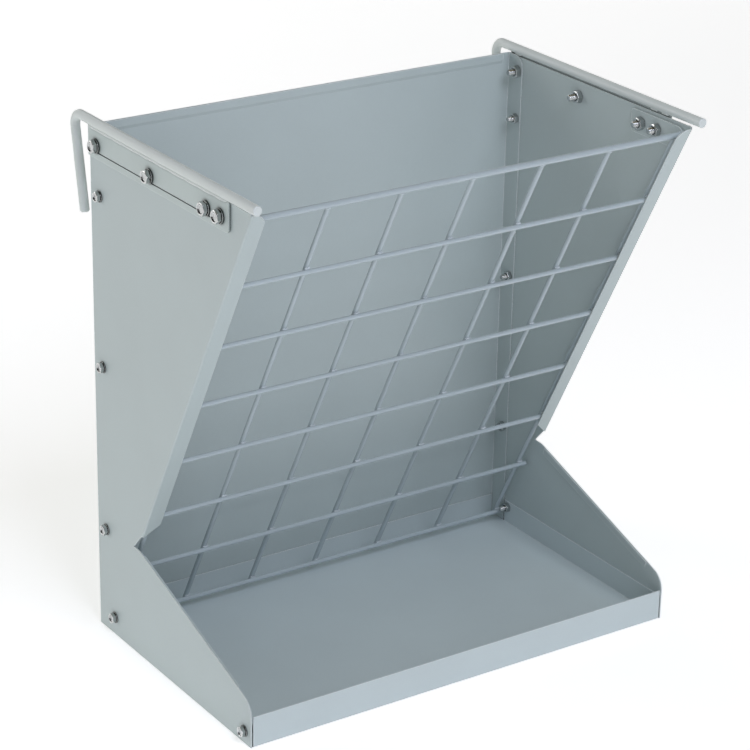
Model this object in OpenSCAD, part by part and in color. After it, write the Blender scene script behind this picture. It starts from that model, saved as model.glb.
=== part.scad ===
// Hay rack feeder: two folded side panels, a back panel and a floor tray in
// sheet steel, a sloping grid of welded wire in front of the hay, and a round
// rod along each top edge that hooks over a rail behind the feeder.
// X is the width, the front faces -Y, Z is up and 0 is the floor.

/* [Body] */
// Width over the outer faces of the side panels
body_w = 410; // [390:5:440]
// Height of the side panels
side_h = 440; // [430:1:450]
// Depth of the feeder at its top and at its tray
body_d = 245; // [240:1:250]
// Thickness of every folded sheet
sheet = 1; // [0.8:0.1:1.2]
// Outer radius of a fold
fold_r = 1.5; // [1.3:0.1:2]

/* [Side panels] */
// Depth at which the sloping front edge starts
slope_low_d = 75; // [74:0.5:76]
// Height at which the sloping front edge starts
slope_low_z = 110.7; // [109:0.1:112]
// Width of the flange folded along the sloping edge
front_flange_w = 14; // [12:0.5:16]
// Rounding of the flange at its top end
flange_top_r = 12; // [8:1:12]
// Height of the tray edge where it starts below the slope
tray_edge_z = 96.4; // [94:0.2:98]
// Height of the point where the tray edge would meet the front
tray_nose_z = 38; // [36:0.5:42]
// Rounding of the tray edge at the front
tray_nose_r = 16; // [12:1:18]
// Width of the hem folded along the tray edge
hem_w = 6; // [4:0.5:8]

/* [Back panel and floor tray] */
// Width of the flanges that the back panel is bolted by
back_flange_w = 20; // [18:0.5:20]
// Height of the hem at the top of the back panel
back_hem_h = 9; // [6:0.5:12]
// Height of the lip at the front of the tray
lip_h = 27; // [24:0.5:28]
// Height of the tray's side flanges
tray_flange_h = 22; // [20:0.5:24]

/* [Hooks] */
// Diameter of the hook rod
rod_dia = 8; // [7:0.5:9]
// Depth of the rod's front end
rod_front_d = 255; // [252:1:260]
// Rod centre above the top of the side panel
rod_rise = 5.5; // [5:0.1:6]
// Centre-line radius of the bend behind the feeder
bend_r = 10; // [8:0.5:12]
// Distance from the back of the feeder to the bend's centre
bend_back = 12; // [9:0.5:13]
// Angle by which the hook's leg leans back towards the panel
leg_lean = 10.5; // [6:0.5:11]
// Straight length of the leg
leg_len = 69.5; // [54:0.5:70]

/* [Hanger strips] */
// Thickness of the strip
strip_t = 2; // [1.5:0.5:2.5]
// Height of the strip up to its saddle under the rod
strip_h = 25.5; // [24:0.5:27]
// Depth of the strip's front end
strip_front_d = 216; // [212:1:216]

/* [Wire grid] */
// Diameter of the grid wires
wire_dia = 4; // [3.5:0.1:4]
// Diameter of the top rail
rail_dia = 5; // [4.5:0.1:5.5]
// Distance of the rail below the top of the slope, along it
rail_inset = 13.2; // [12:0.2:14]
// Spacing of the cross wires along the slope
row_pitch = 67.2; // [66.8:0.1:67.2]
// Number of cross wires below the rail
rows = 7; // [5:1:7]
// Spacing of the upright wires
upright_pitch = 65.6; // [60:0.2:65.6]
// Number of upright wires
uprights = 7; // [5:2:7]

/* [Hidden] */
$fn = 48;
slope_top_z = side_h - 1;
side_x = body_w / 2;
inner_x = side_x - sheet;
flange_in_x = inner_x - sheet;
slope_run = body_d - slope_low_d;
slope_rise = slope_top_z - slope_low_z;
slope_angle = atan(slope_run / slope_rise);
slope_len = norm([slope_run, slope_rise]);
hook_back = bend_back + bend_r + rod_dia / 2;
rear_y = (rod_front_d - hook_back) / 2;
back_h = side_h + 1;
rod_z = side_h + rod_rise;
rod_x = side_x + strip_t / 2;

// Notch below the slope, where the sheet is cut to let both edges fold
notch_d = 70.6;
notch_tip_d = 60.6;
notch_tip_z = 97;

// Strip, with a narrow groove pressed along it just below its bolts
strip_top_z = side_h + 2;
strip_rear_d = 1;
strip_corner_r = 4;
groove_w = 1.2;
groove_deep = 0.7;
groove_drop = 5.6;

// Grid: wires lie just behind the front flanges
wire_gap = 0.25;
cross_v = sheet + wire_gap + wire_dia / 2;
upright_v = cross_v + wire_dia;
rail_s = slope_len - rail_inset;
wire_end_x = flange_in_x - 1;
wire_tail = 5;
plate_t = 2;
plate_rear_d = 171;
plate_low_z = side_h - 22.5;
plate_top_z = side_h - 3;

// Fasteners: [depth, height, where the nut seats]
m6_z = side_h - 13;
m6_places = [
    [14, m6_z, flange_in_x],
    [99, m6_z, inner_x],
    [184, m6_z, inner_x - plate_t],
    [204, m6_z, inner_x - plate_t]
];
m5_places = [
    [14, side_h - 55, flange_in_x],
    [14, side_h - 201, flange_in_x],
    [14, side_h - 347, flange_in_x],
    [26, 16, flange_in_x],
    [body_d - 10, 11, flange_in_x]
];
m6_hole = 6.6;
m5_hole = 5.4;
m6_seat_x = side_x + strip_t;
m5_seat_x = side_x;
// [shank, length, across flats, head height, nut height, washer diameter, washer thickness]
m6 = [6, 16, 10, 4, 5, 12, 1.6];
m5 = [5, 12, 8, 3.5, 4, 10, 1];

// Outline whose corners are [x, y, radius]; a corner with no radius is sharp
arc_steps = 8;
function unit(v) = v / norm(v);
function flat(p) = [p[0], p[1]];
function turn(a) = a > 180 ? a - 360 : a < -180 ? a + 360 : a;
function arc_corner(before, c, after, r) =
    let (
        a = unit(before - c),
        b = unit(after - c),
        half = acos(a * b) / 2,
        centre = c + unit(a + b) * r / sin(half),
        from = c + a * r / tan(half) - centre,
        to = c + b * r / tan(half) - centre,
        start = atan2(from.y, from.x),
        sweep = turn(atan2(to.y, to.x) - start)
    )
    [for (i = [0:arc_steps]) centre + r * [
        cos(start + sweep * i / arc_steps),
        sin(start + sweep * i / arc_steps)
    ]];
function rounded(pts) =
    let (n = len(pts))
    [for (i = [0:n - 1])
        let (p = pts[i])
        each (
            len(p) < 3 ? [p] : arc_corner(
                flat(pts[(i + n - 1) % n]),
                flat(p),
                flat(pts[(i + 1) % n]),
                p[2]
            )
        )
    ];

// A [depth, height] outline made into a plate from x inwards
module plate_at(x, thick)
    translate([x, rear_y, 0])
        rotate([90, 0, -90])
            linear_extrude(height = thick)
                children();

// A place on the slope: Y is the distance behind it, Z the distance up it
module on_slope()
    translate([0, rear_y - slope_low_d, slope_low_z])
        rotate([slope_angle, 0, 0])
            children();

// Round bar along X, from one x to the other
module bar_x(from_x, to_x, dia)
    translate([from_x, 0, 0])
        rotate([0, 90, 0])
            cylinder(h = to_x - from_x, d = dia);

// Round holes along X, through both sides of the feeder
module holes_x(places, dia)
    for (p = places)
        translate([0, rear_y - p[0], p[1]])
            bar_x(-side_x - 10, side_x + 10, dia);

// Folded sheet section in a channel: the outside minus the inside
module channel(half_w, depth)
    difference() {
        polygon(rounded([
            [-half_w, depth],
            [-half_w, 0, fold_r],
            [half_w, 0, fold_r],
            [half_w, depth]
        ]));
        polygon(rounded([
            [-half_w + sheet, depth + 1],
            [-half_w + sheet, sheet, fold_r - sheet],
            [half_w - sheet, sheet, fold_r - sheet],
            [half_w - sheet, depth + 1]
        ]));
    }

// ---- Right side panel: web, sloping front flange and tray hem ----

// Depth and height of a point on the slope, v behind it and s up it
function slope_point(v, s) = [
    slope_low_d + s * sin(slope_angle) - v * cos(slope_angle),
    slope_low_z + s * cos(slope_angle) + v * sin(slope_angle)
];

// The tray edge runs straight from the notch to the nose
tray_edge_angle = atan((tray_edge_z - tray_nose_z) / (body_d - notch_d));
tray_edge_len = norm([body_d - notch_d, tray_edge_z - tray_nose_z]);

module side_web()
    polygon(rounded([
        [0, 0],
        [body_d, 0],
        [body_d, tray_nose_z, tray_nose_r],
        [notch_d, tray_edge_z],
        [notch_tip_d, notch_tip_z],
        slope_point(fold_r, 0),
        slope_point(fold_r, slope_len),
        [0, side_h]
    ]));

// Fold and flange, drawn across the slope and run up it
module side_flange_section() {
    translate([side_x - front_flange_w, 0])
        square([front_flange_w - fold_r, sheet]);
    translate([inner_x, fold_r])
        square([sheet, 2 * fold_r]);
    intersection() {
        translate([side_x - fold_r, fold_r])
            difference() {
                circle(r = fold_r);
                circle(r = fold_r - sheet);
            }
        translate([side_x - fold_r, 0])
            square(fold_r);
    }
}

// Face outline of the flange: chamfered foot, rounded top
module side_flange_face()
    polygon(rounded([
        [side_x + 1, 0],
        [side_x - fold_r, 0],
        [side_x - front_flange_w, 0.9 * front_flange_w],
        [side_x - front_flange_w, slope_len - 1, flange_top_r],
        [side_x + 1, slope_len - 1]
    ]));

module side_flange()
    on_slope()
        intersection() {
            linear_extrude(height = slope_len)
                side_flange_section();
            translate([0, 4 * fold_r, 0])
                rotate([90, 0, 0])
                    linear_extrude(height = 5 * fold_r)
                        side_flange_face();
        }

// Hem along the straight part of the tray edge
module tray_hem_outline()
    translate([notch_d, tray_edge_z])
        rotate(-tray_edge_angle)
            translate([hem_w, -hem_w])
                square([tray_edge_len - tray_nose_r - 2 * hem_w, hem_w]);

module side_panel()
    color("#b4bfbd")
        difference() {
            union() {
                plate_at(side_x, sheet)
                    side_web();
                side_flange();
                plate_at(inner_x, sheet)
                    tray_hem_outline();
            }
            holes_x(m6_places, m6_hole);
            holes_x(m5_places, m5_hole);
        }

module right_side_panel() side_panel();
module left_side_panel() mirror([1, 0, 0]) side_panel();

// ---- Back panel: web, two bolting flanges and a hem pressed flat at the top ----

back_hem_end_x = inner_x - 8;
back_hem_taper = 3;
module back_panel()
    color("#95a0a8")
        difference() {
            union() {
                intersection() {
                    translate([0, rear_y, 0])
                        mirror([0, 1, 0])
                            linear_extrude(height = back_h)
                                channel(inner_x, back_flange_w);
                    plate_at(inner_x, 2 * inner_x)
                        polygon(rounded([
                            [0, 0],
                            [back_flange_w, 0],
                            [back_flange_w, back_h, back_hem_h],
                            [0, back_h]
                        ]));
                }
                plate_at(back_hem_end_x, 2 * back_hem_end_x)
                    polygon([
                        [sheet / 2, back_h],
                        [2 * sheet, back_h],
                        [2 * sheet, back_h - back_hem_h + back_hem_taper],
                        [sheet, back_h - back_hem_h],
                        [sheet / 2, back_h - back_hem_h]
                    ]);
            }
            holes_x([m6_places[0]], m6_hole);
            holes_x([for (i = [0:2]) m5_places[i]], m5_hole);
        }

// ---- Floor tray: floor, front lip, rear flange and two side flanges ----

tray_x = inner_x - 1.2;
tray_rear_flange_h = 20;
tray_side_rear_d = back_flange_w + 1.5;
tray_side_len = body_d - 2 - tray_side_rear_d;

// Floor, lip and rear flange in one strip
module tray_strip()
    plate_at(tray_x, 2 * tray_x)
        polygon(rounded([
            [sheet, tray_rear_flange_h],
            [sheet, 0, fold_r],
            [body_d, 0, fold_r],
            [body_d, lip_h],
            [body_d - sheet, lip_h],
            [body_d - sheet, sheet, fold_r - sheet],
            [2 * sheet, sheet, fold_r - sheet],
            [2 * sheet, tray_rear_flange_h]
        ]));

// Both side flanges: a channel as wide as the body, without its middle
module tray_side_flanges()
    translate([0, rear_y - tray_side_rear_d, 0])
        rotate([90, 0, 0])
            linear_extrude(height = tray_side_len)
                difference() {
                    channel(inner_x, tray_flange_h);
                    translate([10 - tray_x, -1])
                        square([2 * tray_x - 20, tray_flange_h]);
                }

module floor_tray()
    color("#b7c2c9")
        difference() {
            union() {
                tray_strip();
                tray_side_flanges();
            }
            holes_x([m5_places[3], m5_places[4]], m5_hole);
        }

// ---- Hanger strip, saddled under its rod ----

module hanger_strip()
    color("#aab5b2")
        difference() {
            plate_at(side_x + strip_t, strip_t)
                polygon(rounded([
                    [strip_rear_d, strip_top_z - strip_h],
                    [strip_front_d, strip_top_z - strip_h, strip_corner_r],
                    [strip_front_d, strip_top_z],
                    [strip_rear_d, strip_top_z]
                ]));
            translate([rod_x, rear_y + 1, rod_z])
                rotate([90, 0, 0])
                    cylinder(h = rod_front_d, d = rod_dia);
            holes_x(m6_places, m6_hole);
            translate([m6_seat_x - groove_deep, rear_y - m6_places[3][0], m6_z - groove_drop])
                cube([groove_deep + 1, m6_places[3][0] - m6_places[0][0], groove_w]);
        }

module right_hanger_strip() hanger_strip();
module left_hanger_strip() mirror([1, 0, 0]) hanger_strip();

// ---- Hook rod: a long straight, one bend down and a leaning leg ----

rod_chamfer = 0.6;
leg_chamfer = 1.2;

// The leg is a hair thinner than the bend and starts a little way inside it
leg_dia = rod_dia - 0.04;
leg_root = 0.5;
module rod_straight(length, chamfer, dia) {
    cylinder(h = length - chamfer, d = dia);
    translate([0, 0, length - chamfer])
        cylinder(h = chamfer, d1 = dia, d2 = dia - 2 * chamfer);
}

// The bend is a ring cut to a wedge, from the top of the ring to the leg
wedge = 100;
module hook_bend()
    intersection() {
        rotate_extrude()
            translate([bend_r, 0])
                circle(d = rod_dia);
        linear_extrude(height = 2 * rod_dia, center = true)
            polygon([
                [0, 0],
                wedge * [cos(leg_lean), -sin(leg_lean)],
                [wedge, wedge],
                [0, wedge]
            ]);
    }

module hook_rod()
    color("#bcc3c3")
        translate([rod_x, rear_y + bend_back, rod_z - bend_r])
            rotate([90, 0, 90]) {
                hook_bend();
                translate([0, bend_r, 0])
                    rotate([0, -90, 0])
                        rod_straight(rod_front_d + bend_back, rod_chamfer, rod_dia);
                rotate([0, 0, -leg_lean])
                    translate([bend_r, leg_root, 0])
                        rotate([90, 0, 0])
                            rod_straight(leg_len + leg_root, leg_chamfer, leg_dia);
            }

module right_hook_rod() hook_rod();
module left_hook_rod() mirror([1, 0, 0]) hook_rod();

// ---- Wire grid: top rail, end plates, cross wires in front of uprights ----

rail_end_x = inner_x - plate_t;
function row_s(i) = rail_s - i * row_pitch;

module rail_bar()
    on_slope()
        translate([0, upright_v, rail_s])
            bar_x(-rail_end_x, rail_end_x, rail_dia);

module grid_top_rail()
    color("#c4cccd")
        rail_bar();

// Plate welded to the rail's end and held by the two front bolts
module grid_end_plate() {
    front_v = 2 * sheet;
    low_s = (plate_low_z - slope_point(front_v, 0)[1]) / cos(slope_angle);
    top_s = (plate_top_z - slope_point(front_v, 0)[1]) / cos(slope_angle);
    low_front = slope_point(front_v, low_s);
    top_front = slope_point(front_v, top_s);
    color("#b4bfc2")
        difference() {
            plate_at(inner_x, plate_t)
                polygon(rounded([
                    [plate_rear_d, plate_low_z, 3],
                    [low_front.x, low_front.y, 3],
                    [top_front.x, top_front.y, 8],
                    [plate_rear_d, plate_top_z, 3]
                ]));
            holes_x([m6_places[2], m6_places[3]], m6_hole);
        }
}

module right_grid_end_plate() grid_end_plate();
module left_grid_end_plate() mirror([1, 0, 0]) grid_end_plate();

module grid_cross_wire(i)
    color("#c3cccf")
        on_slope()
            translate([0, cross_v, row_s(i)])
                bar_x(-wire_end_x, wire_end_x, wire_dia);

// Uprights butt against the rail from below and end past the last cross wire
module grid_upright_wire(i)
    color("#bcc5c8")
        difference() {
            on_slope()
                translate([(i - (uprights + 1) / 2) * upright_pitch, upright_v, row_s(rows) - wire_tail])
                    cylinder(h = rows * row_pitch + wire_tail, d = wire_dia);
            rail_bar();
        }

// ---- Fasteners along X, head outside and nut inside, on the right ----

head_chamfer = 0.7;
nut_play = 0.1;

// Hexagon with its corners turned off at one end, or at both
module hexagon(flats, height, both)
    intersection() {
        cylinder(h = height, d = flats / cos(30), $fn = 6);
        rotate_extrude()
            polygon([
                [0, 0],
                [flats / 2 / cos(30) - (both ? head_chamfer : 0), 0],
                [flats / 2 / cos(30), both ? head_chamfer : 0],
                [flats / 2 / cos(30), height - head_chamfer],
                [flats / 2 / cos(30) - 1.5 * head_chamfer, height],
                [0, height]
            ]);
    }

// Children at each place, with Z pointing out of the feeder from x
module outward(places, x, step)
    for (i = [0:len(places) - 1])
        translate([x, rear_y - places[i][0], places[i][1]])
            rotate([0, 90, 0])
                rotate(i * step)
                    children();

bolt_turn = 17;
nut_turn = 23;
module bolts(size, places, seat_x)
    color("#c9c6bd")
        outward(places, seat_x + size[6], bolt_turn) {
            hexagon(size[2], size[3], false);
            translate([0, 0, -size[1]])
                cylinder(h = size[1], d = size[0]);
        }

module washers(size, places, seat_x)
    color("#bdbcb6")
        outward(places, seat_x, 0)
            difference() {
                cylinder(h = size[6], d = size[5]);
                translate([0, 0, -1])
                    cylinder(h = size[6] + 2, d = size[0] + 4 * nut_play);
            }

module nuts(size, places)
    color("#c9c6bd")
        for (i = [0:len(places) - 1])
            translate([places[i][2] - size[4], rear_y - places[i][0], places[i][1]])
                rotate([0, 90, 0])
                    rotate(i * nut_turn)
                        difference() {
                            hexagon(size[2], size[4], true);
                            translate([0, 0, -1])
                                cylinder(h = size[4] + 2, d = size[0] + nut_play);
                        }

module right_m6_bolts() bolts(m6, m6_places, m6_seat_x);
module right_m6_washers() washers(m6, m6_places, m6_seat_x);
module right_m6_nuts() nuts(m6, m6_places);
module right_m5_bolts() bolts(m5, m5_places, m5_seat_x);
module right_m5_washers() washers(m5, m5_places, m5_seat_x);
module right_m5_nuts() nuts(m5, m5_places);
module left_m6_bolts() mirror([1, 0, 0]) right_m6_bolts();
module left_m6_washers() mirror([1, 0, 0]) right_m6_washers();
module left_m6_nuts() mirror([1, 0, 0]) right_m6_nuts();
module left_m5_bolts() mirror([1, 0, 0]) right_m5_bolts();
module left_m5_washers() mirror([1, 0, 0]) right_m5_washers();
module left_m5_nuts() mirror([1, 0, 0]) right_m5_nuts();

left_side_panel();
right_side_panel();
back_panel();
floor_tray();
left_hanger_strip();
right_hanger_strip();
left_hook_rod();
right_hook_rod();
grid_top_rail();
left_grid_end_plate();
right_grid_end_plate();
for (i = [1:rows])
    grid_cross_wire(i);
for (i = [1:uprights])
    grid_upright_wire(i);
left_m6_bolts();
left_m6_washers();
left_m6_nuts();
right_m6_bolts();
right_m6_washers();
right_m6_nuts();
left_m5_bolts();
left_m5_washers();
left_m5_nuts();
right_m5_bolts();
right_m5_washers();
right_m5_nuts();
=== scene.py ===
import math
import random

import bmesh
import bpy
from mathutils import Matrix, Vector


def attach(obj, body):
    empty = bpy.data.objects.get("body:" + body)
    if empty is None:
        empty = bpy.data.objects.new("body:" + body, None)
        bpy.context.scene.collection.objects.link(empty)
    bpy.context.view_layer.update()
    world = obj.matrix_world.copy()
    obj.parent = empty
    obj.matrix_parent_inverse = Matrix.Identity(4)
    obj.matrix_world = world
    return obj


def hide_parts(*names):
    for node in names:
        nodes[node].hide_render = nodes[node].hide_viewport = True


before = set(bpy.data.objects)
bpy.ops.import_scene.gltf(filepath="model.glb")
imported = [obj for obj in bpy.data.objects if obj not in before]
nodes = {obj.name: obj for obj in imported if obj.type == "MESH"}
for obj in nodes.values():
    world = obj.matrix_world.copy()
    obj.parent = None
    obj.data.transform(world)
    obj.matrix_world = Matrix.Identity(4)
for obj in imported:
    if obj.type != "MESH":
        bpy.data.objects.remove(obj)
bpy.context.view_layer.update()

# ---- Floor tray ----
# One-millimetre steel sheet, laser cut and folded into a shallow tray: a floor, a front lip,
# side flanges and a rear flange. It is powder coated a light grey green after folding, and
# screws to the side panels and the back panel through its flanges.


def linear(hex_colour):
    """An sRGB hex colour as linear RGBA."""
    parts = [int(hex_colour[i:i + 2], 16) / 255 for i in (1, 3, 5)]
    return tuple(c / 12.92 if c <= 0.04045 else ((c + 0.055) / 1.055) ** 2.4
                 for c in parts) + (1.0,)


def add(tree, kind, settings=None, inputs=None):
    """One shader node with its settings; an input takes a value or the socket that feeds it."""
    made = tree.nodes.new(kind)
    for name, value in (settings or {}).items():
        setattr(made, name, value)
    for name, value in (inputs or {}).items():
        if isinstance(value, bpy.types.NodeSocket):
            tree.links.new(value, made.inputs[name])
        else:
            made.inputs[name].default_value = value
    return made


def powder_coat(name, colour, roughness, edge_radius, sheet_wave, gap_reach, gap_open):
    """Polyester powder coat: satin, with orange peel, a painted highlight along sharp edges and
    folds, and painted shade that darkens its seams and corners."""
    material = bpy.data.materials.new(name)
    material.use_nodes = True
    tree = material.node_tree
    tree.nodes.clear()
    where = add(tree, "ShaderNodeTexCoord").outputs["Object"]

    # Film thickness drifts over 90 mm, and the pigment has a fine grain.
    film = add(tree, "ShaderNodeTexNoise", None,
               {"Vector": where, "Scale": 1 / 0.09, "Detail": 3.0})
    grain = add(tree, "ShaderNodeTexNoise", None,
                {"Vector": where, "Scale": 1 / 0.0012, "Detail": 2.0})
    drift = add(tree, "ShaderNodeMath", {"operation": "MULTIPLY_ADD"},
                {0: film.outputs["Fac"], 1: 0.12, 2: 0.92})
    value = add(tree, "ShaderNodeMath", {"operation": "MULTIPLY_ADD"},
                {0: grain.outputs["Fac"], 1: 0.05, 2: drift.outputs[0]})
    paint = add(tree, "ShaderNodeMix", {"data_type": "RGBA", "blend_type": "MULTIPLY"},
                {"Factor": 1.0, 6: linear(colour), 7: value.outputs[0]})

    # Painted highlight: along sharp edges and folds the coat is mixed towards near white, standing
    # in for light caught there.
    rounded = add(tree, "ShaderNodeBevel", {"samples": 4}, {"Radius": edge_radius})
    flat = add(tree, "ShaderNodeNewGeometry").outputs["True Normal"]
    turn = add(tree, "ShaderNodeVectorMath", {"operation": "DOT_PRODUCT"},
               {0: rounded.outputs["Normal"], 1: flat})
    painted_edge_highlight = add(tree, "ShaderNodeMapRange", None,
               {"Value": turn.outputs["Value"], "From Min": 0.997, "From Max": 0.88,
                "To Min": 0.0, "To Max": 0.95})
    edged = add(tree, "ShaderNodeMix", {"data_type": "RGBA"},
                {"Factor": painted_edge_highlight.outputs[0], 6: paint.outputs[2], 7: linear("#F7FAFA")})

    # Painted shade: the colour darkens towards near black where the coat sees less of its
    # surroundings than gap_open.
    gap = add(tree, "ShaderNodeAmbientOcclusion", {"samples": 6}, {"Distance": gap_reach})
    painted_shade = add(tree, "ShaderNodeMapRange", None,
               {"Value": gap.outputs["AO"], "From Min": gap_open, "From Max": gap_open - 0.40,
                "To Min": 0.0, "To Max": 0.90})
    coat = add(tree, "ShaderNodeMix", {"data_type": "RGBA"},
               {"Factor": painted_shade.outputs[0], 6: edged.outputs[2], 7: linear("#2B3231")})

    # Orange peel is 2.5 mm across; the sheet below it is never quite flat.
    peel = add(tree, "ShaderNodeTexNoise", None,
               {"Vector": where, "Scale": 1 / 0.0025, "Detail": 2.0})
    wave = add(tree, "ShaderNodeTexNoise", None,
               {"Vector": where, "Scale": 1 / 0.11, "Detail": 1.0})
    waved = add(tree, "ShaderNodeBump", None,
                {"Strength": 1.0, "Distance": sheet_wave, "Height": wave.outputs["Fac"],
                 "Normal": rounded.outputs["Normal"]})
    peeled = add(tree, "ShaderNodeBump", None,
                 {"Strength": 0.35, "Distance": 0.00004, "Height": peel.outputs["Fac"],
                  "Normal": waved.outputs[0]})
    gloss = add(tree, "ShaderNodeMath", {"operation": "MULTIPLY_ADD"},
                {0: film.outputs["Fac"], 1: 0.12, 2: roughness - 0.06})
    surface = add(tree, "ShaderNodeBsdfPrincipled", None,
                  {"Base Color": coat.outputs[2], "Roughness": gloss.outputs[0],
                   "Normal": peeled.outputs[0]})
    add(tree, "ShaderNodeOutputMaterial", None, {"Surface": surface.outputs[0]})
    return material


def finish(names, material):
    """Gives each named CAD node the material."""
    for name in names:
        slots = nodes[name].data.materials
        slots.clear()
        slots.append(material)


tray_coat = powder_coat("pale_grey_powder_coat_on_tray", "#BEC9CA", roughness=0.40,
                        edge_radius=0.0008, sheet_wave=0.0010, gap_reach=0.0022, gap_open=0.58)
finish(["floor_tray"], tray_coat)

# ---- Back panel ----
# A single folded sheet: a flat web, a forward flange down each side that takes the bolts of
# the side panels, and a hem closed flat along its top. Same sheet, a shade darker and greener.
sheet_coat = powder_coat("grey_green_powder_coat_on_sheet", "#B4BFBE", roughness=0.42,
                         edge_radius=0.0008, sheet_wave=0.0012, gap_reach=0.0022, gap_open=0.58)
finish(["back_panel"], sheet_coat)

# ---- Side panels ----
# Mirror-image sheets, each with a broad flange folded in along the sloping front edge and a
# narrow hem where an animal's neck rests on the tray opening. Laser-cut edges, same coat.
finish(["left_side_panel", "right_side_panel"], sheet_coat)

# ---- Hanger strips ----
# Flat strips of 2 mm steel bolted along the top of each side panel. They carry the hook rods,
# and a shallow groove runs between their bolts. Thicker plate stays flat, so it has no wave.
# The painted shade on the strips starts early, which darkens their groove and the corners along
# them.
strip_coat = powder_coat("grey_green_powder_coat_on_plate", "#B7C2BF", roughness=0.42,
                         edge_radius=0.0005, sheet_wave=0.0001, gap_reach=0.0026, gap_open=0.93)
finish(["left_hanger_strip", "right_hanger_strip"], strip_coat)

# ---- Hook rods ----
# Drawn 8 mm bar, bent down once behind the feeder to hook over a rail. It is welded along the
# strip outside and stitched inside, then coated, so the beads are painted over.
rod_coat = powder_coat("grey_powder_coat_on_bar", "#CCD2CF", roughness=0.36,
                       edge_radius=0.0004, sheet_wave=0.0001, gap_reach=0.0020, gap_open=0.45)
finish(["left_hook_rod", "right_hook_rod"], rod_coat)

rear_y = 0.1145
rod_x = 0.206
rod_z = 0.4455
rod_radius = 0.004
strip_half = 0.001
strip_depth = (0.003, 0.214)
stitch_depths = (0.012, 0.196, 0.210)
stitch_length = 0.009
run_steps = 106
run_ripples = 19
stitch_steps = 12
draw = random.Random(11)


def swept_bead(mesh, path, radii, closed):
    """A weld bead: a ring of points round each step of the path, joined along it."""
    around = 10
    count = len(path)
    rings = []
    last_side = None
    for i, centre in enumerate(path):
        before = path[i - 1] if closed or i > 0 else path[i]
        after = path[(i + 1) % count] if closed or i < count - 1 else path[i]
        along = (after - before).normalized()
        side = along.orthogonal().normalized()
        other = along.cross(side)
        if last_side is not None and abs(side.dot(last_side)) < 0.999:
            side = (last_side - along * last_side.dot(along)).normalized()
            other = along.cross(side)
        last_side = side
        rings.append([mesh.verts.new(centre + radii[i] * (math.cos(a) * side + math.sin(a) * other))
                      for a in (2 * math.pi * k / around for k in range(around))])
    steps = range(count) if closed else range(count - 1)
    for i in steps:
        a, b = rings[i], rings[(i + 1) % count]
        for k in range(around):
            mesh.faces.new((a[k], a[(k + 1) % around], b[(k + 1) % around], b[k]))
    if not closed:
        mesh.faces.new(reversed(rings[0]))
        mesh.faces.new(rings[-1])


def placed(name, mesh, material):
    """Turns the built mesh into a piece on the body, smooth except at its real edges."""
    bmesh.ops.recalc_face_normals(mesh, faces=mesh.faces)
    data = bpy.data.meshes.new(name)
    mesh.to_mesh(data)
    mesh.free()
    data.polygons.foreach_set("use_smooth", [True] * len(data.polygons))
    data.set_sharp_from_angle(angle=math.radians(32))
    data.materials.append(material)
    piece = bpy.data.objects.new(name, data)
    bpy.context.scene.collection.objects.link(piece)
    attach(piece, "root")
    return piece


for side, sign in (("left", -1), ("right", 1)):
    beads = bmesh.new()
    under_rod = rod_z - math.sqrt(rod_radius ** 2 - strip_half ** 2)
    # Outside, one long run laid in overlapping stitches; its ends taper out.
    path, radii = [], []
    first, last = strip_depth
    for step in range(run_steps + 1):
        t = step / run_steps
        ripple = 0.00016 * math.sin(t * run_ripples * math.pi) + draw.uniform(-0.00005, 0.00005)
        path.append(Vector((sign * (rod_x + strip_half + 0.0002),
                            rear_y - first - t * (last - first),
                            under_rod - 0.0004 + draw.uniform(-0.00004, 0.00004))))
        radii.append(0.0002 + (0.0014 + ripple) * (1 - abs(2 * t - 1) ** 30) ** 0.5)
    swept_bead(beads, path, radii, closed=False)
    # Inside, three short stitches in the gap above the side panel.
    for middle in stitch_depths:
        path, radii = [], []
        for step in range(stitch_steps + 1):
            t = step / stitch_steps
            path.append(Vector((sign * (rod_x - strip_half - 0.0002),
                                rear_y - middle + (t - 0.5) * stitch_length,
                                under_rod - 0.0002 + draw.uniform(-0.00006, 0.00006))))
            radii.append(0.0001 + 0.0009 * (1 - abs(2 * t - 1) ** 5) ** 0.5
                         * draw.uniform(0.90, 1.0))
        swept_bead(beads, path, radii, closed=False)
    placed(f"{side}_rod_welds", beads, rod_coat)

# ---- Wire grid ----
# A 5 mm top rail and straight 4 mm wires, resistance welded where they cross, with a small
# plate on each end of the rail that bolts inside the side panel. Coated as one piece.
wire_coat = powder_coat("pale_grey_powder_coat_on_wire", "#ACB7BB", roughness=0.22,
                        edge_radius=0.0004, sheet_wave=0.0001, gap_reach=0.0020, gap_open=0.45)
wires = [f"grid_{kind}_wire_{i}" for kind in ("cross", "upright") for i in range(1, 8)]
finish(["grid_top_rail"] + wires, wire_coat)
finish(["left_grid_end_plate", "right_grid_end_plate"], sheet_coat)

slope_start_depth = 0.075
slope_start_z = 0.1107
slope_lean = math.atan(170 / 328.3)
rail_s = 0.3565
row_pitch = 0.0672
column_pitch = 0.0656
weld_v = 0.00525
upright_v = 0.00725
wire_radius = 0.002
rail_radius = 0.0025
rail_end_x = 0.202
up_slope = Vector((0, -math.sin(slope_lean), math.cos(slope_lean)))
out_of_slope = Vector((0, math.cos(slope_lean), math.sin(slope_lean)))


def on_slope(x, s, v):
    """A point s up the slope and v behind it."""
    start = Vector((x, rear_y - slope_start_depth, slope_start_z))
    return start + up_slope * s + out_of_slope * v


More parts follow.
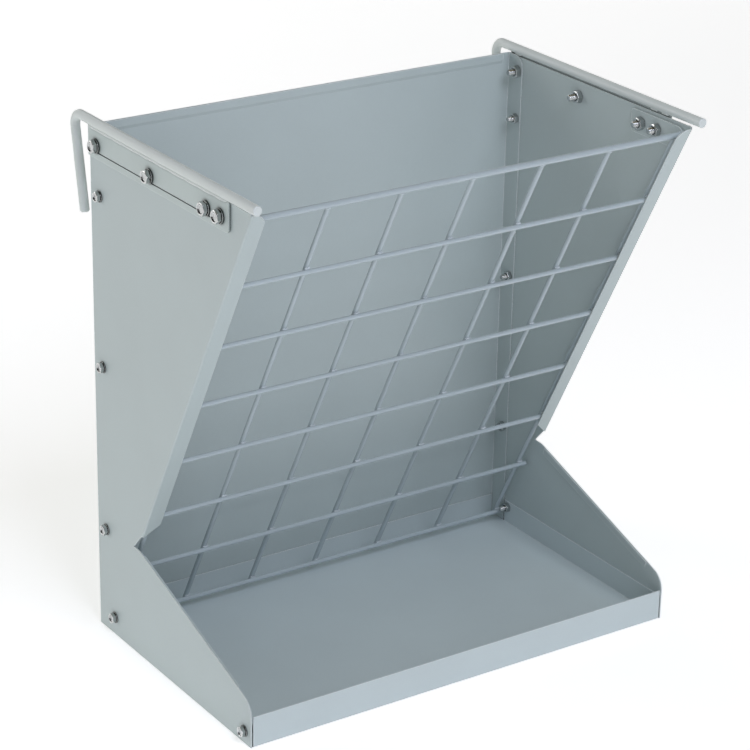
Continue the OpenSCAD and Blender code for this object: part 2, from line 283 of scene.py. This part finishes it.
nuggets = bmesh.new()
for row in range(1, 8):
    for column in range(1, 8):
        middle = on_slope((column - 4) * column_pitch, rail_s - row * row_pitch, weld_v)
        swell = draw.uniform(0.92, 1.08)
        rings = []
        for level in (-0.94, -0.62, -0.2, 0.2, 0.62, 0.94):
            ring = []
            for k in range(16):
                a = 2 * math.pi * k / 16
                reach = (0.0021 + 0.0013 * abs(math.sin(2 * a)) ** 1.5) * math.sqrt(1 - level ** 2)
                reach *= swell * draw.uniform(0.95, 1.05)
                ring.append(nuggets.verts.new(middle + Vector((1, 0, 0)) * reach * math.cos(a)
                                              + up_slope * reach * math.sin(a)
                                              + out_of_slope * 0.0013 * level))
            rings.append(ring)
        for a, b in zip(rings, rings[1:]):
            for k in range(16):
                nuggets.faces.new((a[k], a[(k + 1) % 16], b[(k + 1) % 16], b[k]))
        nuggets.faces.new(reversed(rings[0]))
        nuggets.faces.new(rings[-1])
placed("grid_crossing_welds", nuggets, wire_coat)

rail_welds = bmesh.new()
for column in range(1, 8):
    path, radii = [], []
    for k in range(20):
        a = 2 * math.pi * k / 20
        off_v = wire_radius * math.sin(a)
        path.append(on_slope((column - 4) * column_pitch + wire_radius * math.cos(a),
                             rail_s - math.sqrt(rail_radius ** 2 - off_v ** 2) - 0.0003,
                             upright_v + off_v))
        radii.append(0.0007 * draw.uniform(0.85, 1.15))
    swept_bead(rail_welds, path, radii, closed=True)
for sign in (-1, 1):
    path, radii = [], []
    for k in range(22):
        a = 2 * math.pi * k / 22
        path.append(on_slope(sign * (rail_end_x - 0.0002), rail_s + rail_radius * math.cos(a),
                             upright_v + rail_radius * math.sin(a)))
        radii.append(0.0009 * draw.uniform(0.85, 1.15))
    swept_bead(rail_welds, path, radii, closed=True)
placed("grid_rail_welds", rail_welds, wire_coat)

# ---- M6 fasteners ----
# Cold-headed M6 x 16 hex bolts with rolled threads, stamped washers and hex nuts, all bright
# zinc plated. Four a side hold the hanger strip, and two of those also hold the grid.

# A head's chamfer and its washer face begin at this share of the width across flats.
face_share = 0.475
head_columns = 48


def zinc_plate(name, low_tone, high_tone, gap_open):
    """Bright zinc plate: a hard, mirror-like metal that clouds over a few millimetres, with a
    painted highlight on its corners and thread crests and painted shade in its crevices."""
    material = bpy.data.materials.new(name)
    material.use_nodes = True
    tree = material.node_tree
    tree.nodes.clear()
    where = add(tree, "ShaderNodeTexCoord").outputs["Object"]
    cloud = add(tree, "ShaderNodeTexNoise", None,
                {"Vector": where, "Scale": 1 / 0.003, "Detail": 4.0})
    tint = add(tree, "ShaderNodeMix", {"data_type": "RGBA"},
               {"Factor": cloud.outputs["Fac"], 6: linear(low_tone), 7: linear(high_tone)})
    dull = add(tree, "ShaderNodeMath", {"operation": "MULTIPLY_ADD"},
               {0: cloud.outputs["Fac"], 1: 0.14, 2: 0.08})
    # Painted highlight: corners and thread crests are mixed towards near white.
    rounded = add(tree, "ShaderNodeBevel", {"samples": 6}, {"Radius": 0.0004})
    flat = add(tree, "ShaderNodeNewGeometry").outputs["True Normal"]
    turn = add(tree, "ShaderNodeVectorMath", {"operation": "DOT_PRODUCT"},
               {0: rounded.outputs["Normal"], 1: flat})
    corner = add(tree, "ShaderNodeMapRange", None,
                 {"Value": turn.outputs["Value"], "From Min": 0.995, "From Max": 0.90,
                  "To Min": 0.0, "To Max": 1.0})
    bright = add(tree, "ShaderNodeMix", {"data_type": "RGBA"},
                 {"Factor": corner.outputs[0], 6: tint.outputs[2], 7: linear("#FBFAF5")})
    # Painted shade: crevices round heads, washers and nuts darken towards near black.
    gap = add(tree, "ShaderNodeAmbientOcclusion", {"samples": 6}, {"Distance": 0.0018})
    painted_shade = add(tree, "ShaderNodeMapRange", None,
               {"Value": gap.outputs["AO"], "From Min": gap_open, "From Max": gap_open - 0.34,
                "To Min": 0.0, "To Max": 0.95})
    plated = add(tree, "ShaderNodeMix", {"data_type": "RGBA"},
                 {"Factor": painted_shade.outputs[0], 6: bright.outputs[2], 7: linear("#1C1F1F")})
    # Tool marks are finer than this on a real head; they are drawn coarser so that they show.
    marks = add(tree, "ShaderNodeTexNoise", None,
                {"Vector": where, "Scale": 1 / 0.0009, "Detail": 3.0})
    marked = add(tree, "ShaderNodeBump", None,
                 {"Strength": 0.35, "Distance": 0.00006, "Height": marks.outputs["Fac"],
                  "Normal": rounded.outputs["Normal"]})
    surface = add(tree, "ShaderNodeBsdfPrincipled", None,
                  {"Base Color": plated.outputs[2], "Metallic": 1.0, "Roughness": dull.outputs[0],
                   "Normal": marked.outputs[0]})
    add(tree, "ShaderNodeOutputMaterial", None, {"Surface": surface.outputs[0]})
    return material


zinc = zinc_plate("bright_zinc_plate", "#9A9C9C", "#D2D4D4", gap_open=0.64)
# The washers take the same zinc in darker tones, with early crevice darkening: painted shade round
# the bolt heads.
shaded_zinc = zinc_plate("zinc_plate_darkened_as_painted_shade_on_washers", "#5A5E5D", "#8A8E8D", gap_open=0.94)


def spot(sign, x, depth, z, turn):
    """Turns a point on a fastener (z outwards along it) into a point on the feeder."""
    u = Vector((0, math.sin(turn), -math.cos(turn)))
    v = sign * Vector((0, math.cos(turn), math.sin(turn)))
    w = Vector((sign, 0, 0))
    origin = Vector((sign * x, rear_y - depth, z))
    return lambda r, a, h: origin + r * math.cos(a) * u + r * math.sin(a) * v + h * w


def turned(mesh, at, rings, hollow):
    """Joins rings of (radius, height) pairs, one pair for each column, into a closed shell."""
    made = [[mesh.verts.new(at(r, 2 * math.pi * k / len(ring), h))
             for k, (r, h) in enumerate(ring)] for ring in rings]
    count = len(made[0])
    pairs = list(zip(made, made[1:])) + ([(made[-1], made[0])] if hollow else [])
    for a, b in pairs:
        for k in range(count):
            mesh.faces.new((a[k], a[(k + 1) % count], b[(k + 1) % count], b[k]))
    if not hollow:
        mesh.faces.new(reversed(made[0]))
        mesh.faces.new(made[-1])


def circle(radius, height, columns=head_columns):
    return [(radius, height)] * columns


def hex_reach(flats, k, columns=head_columns):
    """Distance from the axis to the hexagon's side in a column; corners fall on columns."""
    a = (2 * math.pi * k / columns) % (math.pi / 3) - math.pi / 6
    return flats / 2 / math.cos(a)


def hex_ring(flats, height, chamfer_to):
    """The hexagon's outline where its 30 degree chamfer cone cuts it."""
    start = flats * face_share
    slant = math.tan(math.radians(30))
    return [(hex_reach(flats, k), height + chamfer_to * (hex_reach(flats, k) - start) * slant)
            for k in range(head_columns)]


def bolt(mesh, at, diameter, pitch, length, flats, head):
    """Dished hex head with a washer face below and a chamfer above, and a rolled thread."""
    pad = 0.0004
    face = [(hex_reach(flats, k), pad) for k in range(head_columns)]
    turned(mesh, at, [circle(diameter * 0.45, -0.0004), circle(diameter * 0.45, 0),
                      circle(flats * face_share, 0), circle(flats * face_share, pad),
                      face, hex_ring(flats, head, -1),
                      circle(flats * face_share, head), circle(flats * 0.41, head),
                      circle(flats * 0.29, head - 0.0011)], hollow=False)
    crest = diameter / 2 - 0.00004
    root = diameter / 2 - 0.55 * pitch
    columns = 20
    rows = round(length / pitch * 4)
    thread = []
    for row in range(rows + 1):
        h = -length + length * row / rows
        ring = []
        for k in range(columns):
            phase = (h / pitch - k / columns) % 1
            rise = min(1, max(0, 1.7 * (1 - abs(2 * phase - 1)) - 0.35))
            ring.append((min(root + (crest - root) * rise, root - 0.0003 + (h + length)), h))
        thread.append(ring)
    turned(mesh, at, thread, hollow=False)


def nut(mesh, at, diameter, flats, height):
    """Hex nut, chamfered on both ends, with a countersunk bore."""
    bore = diameter / 2 + 0.00005
    sink = 0.0005
    turned(mesh, at, [circle(bore, sink), circle(bore + sink, 0), circle(flats * face_share, 0),
                      hex_ring(flats, 0, 1), hex_ring(flats, height, -1),
                      circle(flats * face_share, height), circle(bore + sink, height),
                      circle(bore, height - sink)], hollow=True)


def washer(mesh, at, diameter, outside, thickness):
    """Stamped washer: the punch rounds its outer face edge and leaves the other sharp."""
    bore = diameter / 2 + 0.0002
    over = outside / 2
    turned(mesh, at, [circle(bore, 0), circle(over, 0), circle(over, thickness - 0.00035),
                      circle(over - 0.0001, thickness - 0.0001), circle(over - 0.00035, thickness),
                      circle(bore + 0.0001, thickness), circle(bore, thickness - 0.0001)],
           hollow=True)


def fasteners(size, places, seat_x, diameter, pitch, length, flats, head, nut_height, outside,
              thickness):
    """Bolts, washers and nuts of one size on both sides, each kind one piece a side."""
    for side, sign in (("left", -1), ("right", 1)):
        kinds = {kind: bmesh.new() for kind in ("bolts", "washers", "nuts")}
        for i, (depth, z, nut_seat) in enumerate(places):
            head_seat = seat_x + thickness
            bolt(kinds["bolts"], spot(sign, head_seat, depth, z, math.radians(17 * i)),
                 diameter, pitch, length, flats, head)
            washer(kinds["washers"], spot(sign, seat_x, depth, z, 0.0),
                   diameter, outside, thickness)
            nut(kinds["nuts"], spot(sign, nut_seat - nut_height, depth, z, math.radians(23 * i)),
                diameter, flats, nut_height)
        for kind, mesh in kinds.items():
            name = f"{side}_{size}_{kind}"
            # Washers get the zinc that is darkened as painted shade.
            plating = shaded_zinc if kind == "washers" else zinc
            piece = placed(f"{name}_detailed", mesh, plating)
            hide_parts(name)


# Each place is its depth from the back, its height and where its nut bears.
m6_places = [(0.014, 0.427, 0.203), (0.099, 0.427, 0.204),
             (0.184, 0.427, 0.202), (0.204, 0.427, 0.202)]
fasteners("m6", m6_places, seat_x=0.207, diameter=0.006, pitch=0.001, length=0.016, flats=0.010,
          head=0.004, nut_height=0.005, outside=0.012, thickness=0.0016)

# ---- M5 fasteners ----
# M5 x 12 bolts, washers and nuts of the same kind. Three a side hold the back panel's flange,
# and two more hold the tray's side flange near the back and at the front.
m5_places = [(0.014, 0.385, 0.203), (0.014, 0.239, 0.203), (0.014, 0.093, 0.203),
             (0.026, 0.016, 0.203), (0.235, 0.011, 0.203)]
fasteners("m5", m5_places, seat_x=0.205, diameter=0.005, pitch=0.0008, length=0.012, flats=0.008,
          head=0.0035, nut_height=0.004, outside=0.010, thickness=0.001)

# ---- Floor, lights and camera ----
# A white acrylic sheet lit softly from below, and large softboxes all round at the height of
# the feeder. The strongest one stands high in front, and the surroundings stay dark.
floor_mesh = bmesh.new()
bmesh.ops.create_circle(floor_mesh, cap_ends=True, segments=96, radius=30.0)
floor_data = bpy.data.meshes.new("studio_floor")
floor_mesh.to_mesh(floor_data)
floor_mesh.free()
floor = bpy.data.objects.new("studio_floor", floor_data)
bpy.context.scene.collection.objects.link(floor)
acrylic = bpy.data.materials.new("white_acrylic_lit_from_below")
acrylic.use_nodes = True
tree = acrylic.node_tree
tree.nodes.clear()
surface = add(tree, "ShaderNodeBsdfPrincipled", None,
              {"Base Color": linear("#F4F4F4"), "Roughness": 0.9,
               "Emission Color": linear("#FFFFFF"), "Emission Strength": 0.49})
add(tree, "ShaderNodeOutputMaterial", None, {"Surface": surface.outputs[0]})
floor_data.materials.append(acrylic)

world = bpy.data.worlds.new("dark_studio")
bpy.context.scene.world = world
world.use_nodes = True
world.node_tree.nodes["Background"].inputs["Color"].default_value = linear("#8A9096")
world.node_tree.nodes["Background"].inputs["Strength"].default_value = 0.05

# Watts, side in metres, colour (linear) and place; the front boxes are cool, the top one warm.
neutral = (1.0, 1.0, 1.0)
cool = (0.83, 0.87, 1.0)
warm = (1.0, 0.93, 0.68)
softboxes = {
    "left": (4, 1.6, neutral, (-3.0, 0.0, 0.9)),
    "left_rear": (23, 1.6, neutral, (-2.2, 2.2, 1.1)),
    "rear": (17, 1.6, neutral, (0.0, 3.0, 1.3)),
    "right_rear": (9, 1.6, neutral, (2.2, 2.2, 1.1)),
    "right_front": (4, 1.6, cool, (2.2, -2.2, 1.1)),
    "left_front": (15, 1.6, cool, (-2.2, -2.2, 1.1)),
    "top": (15, 3.2, warm, (0.0, 0.0, 3.2)),
    "top_front": (46, 1.6, cool, (0.0, -2.0, 2.4)),
}
aim = Vector((0.0, 0.0, 0.22))
for name, (watts, side, colour, place) in softboxes.items():
    data = bpy.data.lights.new(f"{name}_softbox", "AREA")
    data.energy = watts
    data.color = colour
    data.shape = "SQUARE"
    data.size = side
    light = bpy.data.objects.new(f"{name}_softbox", data)
    light.location = place
    light.rotation_euler = (aim - Vector(place)).to_track_quat("-Z", "Y").to_euler()
    bpy.context.scene.collection.objects.link(light)

azimuth = math.radians(-34.17)
elevation = math.radians(22.86)
roll = math.radians(1.20)
back = Vector((math.sin(azimuth) * math.cos(elevation), -math.cos(azimuth) * math.cos(elevation),
               math.sin(elevation)))
right = (-back).cross(Vector((0, 0, 1))).normalized()
up = right.cross(-back)
right_rolled = math.cos(roll) * right + math.sin(roll) * up
up_rolled = -math.sin(roll) * right + math.cos(roll) * up
camera_data = bpy.data.cameras.new("camera")
camera_data.lens = 128.5
camera_data.sensor_width = 36.0
camera = bpy.data.objects.new("camera", camera_data)
place = Vector((0.0172, 0.03575, 0.2071)) + back * 2.2456
camera.matrix_world = Matrix((
    (right_rolled.x, up_rolled.x, back.x, place.x),
    (right_rolled.y, up_rolled.y, back.y, place.y),
    (right_rolled.z, up_rolled.z, back.z, place.z),
    (0, 0, 0, 1),
))
bpy.context.scene.collection.objects.link(camera)
bpy.context.scene.camera = camera
bpy.context.scene.view_settings.view_transform = "Standard"
